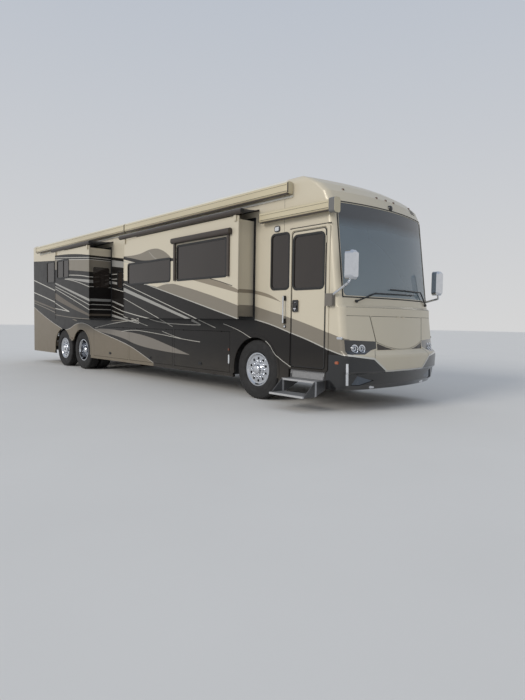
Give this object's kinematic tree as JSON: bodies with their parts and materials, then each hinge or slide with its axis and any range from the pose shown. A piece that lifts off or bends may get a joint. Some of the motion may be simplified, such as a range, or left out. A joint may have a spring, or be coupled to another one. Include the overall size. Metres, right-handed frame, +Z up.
{
  "type": "motorhome",
  "caption": "Rear-engined motorhome with slide-out rooms, roof awnings, hinged entry, bay and engine doors, a sliding step, steered front wheels, and twin drive and tag wheels that roll.",
  "frame": {"origin": "on the ground under the middle of the coach", "axes": "+X forward, +Y to the driver's (left) side, +Z up"},
  "size_m": [13.29, 3.8678, 3.954],
  "materials": {
    "panel_paint": "gloss",
    "lower_paint": "gloss",
    "roof_skin": "satin",
    "dark_glass": "polished",
    "windscreen_glass": "polished",
    "chassis_black": "satin",
    "engine_iron": "rough",
    "floor_board": "satin",
    "bay_lining": "matt",
    "tyre": "matt",
    "wheel_alloy": "polished",
    "lamp_lens": "gloss",
    "awning_case": "satin",
    "mirror_chrome": "polished",
    "wiper_black": "matt",
    "roof_unit": "satin",
    "dash_trim": "matt",
    "seat_leather": "soft",
    "handle_chrome": "polished",
    "step_alloy": "satin",
    "hitch_black": "satin"
  },
  "bodies": {
    "coach": {"chassis_frame": "chassis_black", "cabin_floor": "floor_board", "basement": "bay_lining", "wall_right": "panel_paint", "wall_left": "panel_paint", "roof": "roof_skin", "rear_cap": "panel_paint", "front_cap": "panel_paint", "windshield": "windscreen_glass", "wall_windows": "dark_glass", "front_bumper": "lower_paint", "lamps": "lamp_lens", "mirrors": "mirror_chrome", "wipers": "wiper_black", "awnings": "awning_case", "roof_units": "roof_unit", "engine": "engine_iron", "front_axle": "chassis_black", "drive_axle": "chassis_black", "tag_axle": "chassis_black", "dashboard": "dash_trim", "cab_seats": "seat_leather", "grab_handle": "handle_chrome", "hitch_receiver": "hitch_black"},
    "entry_door": {"entry_door": "panel_paint", "entry_door_window": "dark_glass"},
    "entry_step": {"entry_step": "step_alloy"},
    "engine_door": {"engine_door": "lower_paint"},
    "nose_hatch": {"nose_hatch": "panel_paint"},
    "front_slide": {"front_slide": "panel_paint", "front_slide_windows": "dark_glass", "front_slide_topper": "awning_case"},
    "rear_slide": {"rear_slide": "panel_paint", "rear_slide_windows": "dark_glass", "rear_slide_topper": "awning_case"},
    "left_slide": {"left_slide": "panel_paint", "left_slide_windows": "dark_glass", "left_slide_topper": "awning_case"},
    "bay_door_right_1": {"bay_door_right_1": "lower_paint"},
    "bay_door_right_2": {"bay_door_right_2": "lower_paint"},
    "bay_door_right_3": {"bay_door_right_3": "lower_paint"},
    "knuckle_right": {"knuckle_right": "chassis_black"},
    "front_wheel_right": {"front_rim_right": "wheel_alloy", "front_tyre_right": "tyre"},
    "drive_wheels_right": {"drive_rims_right": "wheel_alloy", "drive_tyres_right": "tyre"},
    "tag_wheel_right": {"tag_rim_right": "wheel_alloy", "tag_tyre_right": "tyre"},
    "bay_door_left_1": {"bay_door_left_1": "lower_paint"},
    "bay_door_left_2": {"bay_door_left_2": "lower_paint"},
    "bay_door_left_3": {"bay_door_left_3": "lower_paint"},
    "knuckle_left": {"knuckle_left": "chassis_black"},
    "front_wheel_left": {"front_rim_left": "wheel_alloy", "front_tyre_left": "tyre"},
    "drive_wheels_left": {"drive_rims_left": "wheel_alloy", "drive_tyres_left": "tyre"},
    "tag_wheel_left": {"tag_rim_left": "wheel_alloy", "tag_tyre_left": "tyre"}
  },
  "joints": [
    {"name": "steer_right", "type": "hinge", "parent": "coach", "child": "knuckle_right", "pos_m": [4.33, -0.96, 0.53], "axis": [0, 0, 1], "range_deg": [-42, 42]},
    {"name": "front_wheel_spin_right", "type": "hinge", "parent": "knuckle_right", "child": "front_wheel_right", "pos_m": [4.33, -1.098, 0.53], "axis": [0, 1, 0], "continuous": true},
    {"name": "drive_wheels_spin_right", "type": "hinge", "parent": "coach", "child": "drive_wheels_right", "pos_m": [-2.89, -0.923, 0.53], "axis": [0, 1, 0], "continuous": true},
    {"name": "tag_wheel_spin_right", "type": "hinge", "parent": "coach", "child": "tag_wheel_right", "pos_m": [-4.15, -1.098, 0.53], "axis": [0, 1, 0], "continuous": true},
    {"name": "bay_door_right_1_hinge", "type": "hinge", "parent": "coach", "child": "bay_door_right_1", "pos_m": [-1.16, -1.297, 1.187], "axis": [-1, 0, 0], "range_deg": [0, 85]},
    {"name": "bay_door_right_2_hinge", "type": "hinge", "parent": "coach", "child": "bay_door_right_2", "pos_m": [0.77, -1.297, 1.187], "axis": [-1, 0, 0], "range_deg": [0, 85]},
    {"name": "bay_door_right_3_hinge", "type": "hinge", "parent": "coach", "child": "bay_door_right_3", "pos_m": [2.7, -1.297, 1.187], "axis": [-1, 0, 0], "range_deg": [0, 85]},
    {"name": "steer_left", "type": "hinge", "parent": "coach", "child": "knuckle_left", "pos_m": [4.33, 0.96, 0.53], "axis": [0, 0, 1], "range_deg": [-42, 42]},
    {"name": "front_wheel_spin_left", "type": "hinge", "parent": "knuckle_left", "child": "front_wheel_left", "pos_m": [4.33, 1.098, 0.53], "axis": [0, 1, 0], "continuous": true},
    {"name": "drive_wheels_spin_left", "type": "hinge", "parent": "coach", "child": "drive_wheels_left", "pos_m": [-2.89, 0.923, 0.53], "axis": [0, 1, 0], "continuous": true},
    {"name": "tag_wheel_spin_left", "type": "hinge", "parent": "coach", "child": "tag_wheel_left", "pos_m": [-4.15, 1.098, 0.53], "axis": [0, 1, 0], "continuous": true},
    {"name": "bay_door_left_1_hinge", "type": "hinge", "parent": "coach", "child": "bay_door_left_1", "pos_m": [-1.16, 1.297, 1.187], "axis": [1, 0, 0], "range_deg": [0, 85]},
    {"name": "bay_door_left_2_hinge", "type": "hinge", "parent": "coach", "child": "bay_door_left_2", "pos_m": [0.77, 1.297, 1.187], "axis": [1, 0, 0], "range_deg": [0, 85]},
    {"name": "bay_door_left_3_hinge", "type": "hinge", "parent": "coach", "child": "bay_door_left_3", "pos_m": [2.7, 1.297, 1.187], "axis": [1, 0, 0], "range_deg": [0, 85]},
    {"name": "entry_door_hinge", "type": "hinge", "parent": "coach", "child": "entry_door", "pos_m": [5.945, -1.297, 1.75], "axis": [0, 0, 1], "range_deg": [0, 90]},
    {"name": "engine_door_hinge", "type": "hinge", "parent": "coach", "child": "engine_door", "pos_m": [-6.608, 0, 1.477], "axis": [0, 1, 0], "range_deg": [0, 80]},
    {"name": "nose_hatch_hinge", "type": "hinge", "parent": "coach", "child": "nose_hatch", "pos_m": [6.458, 0, 1.485], "axis": [0, -1, 0], "range_deg": [0, 70]},
    {"name": "entry_step_slide", "type": "slide", "parent": "coach", "child": "entry_step", "axis": [0, 1, 0], "range_m": [0, 0.3]},
    {"name": "front_slide_travel", "type": "slide", "parent": "coach", "child": "front_slide", "axis": [0, 1, 0], "range_m": [0, 0.355]},
    {"name": "rear_slide_travel", "type": "slide", "parent": "coach", "child": "rear_slide", "axis": [0, 1, 0], "range_m": [0, 0.559]},
    {"name": "left_slide_travel", "type": "slide", "parent": "coach", "child": "left_slide", "axis": [0, -1, 0], "range_m": [0, 0.529]}
  ],
  "couplings": [
    {"joint": "steer_right", "follows": "steer_left", "ratio": 1}
  ]
}
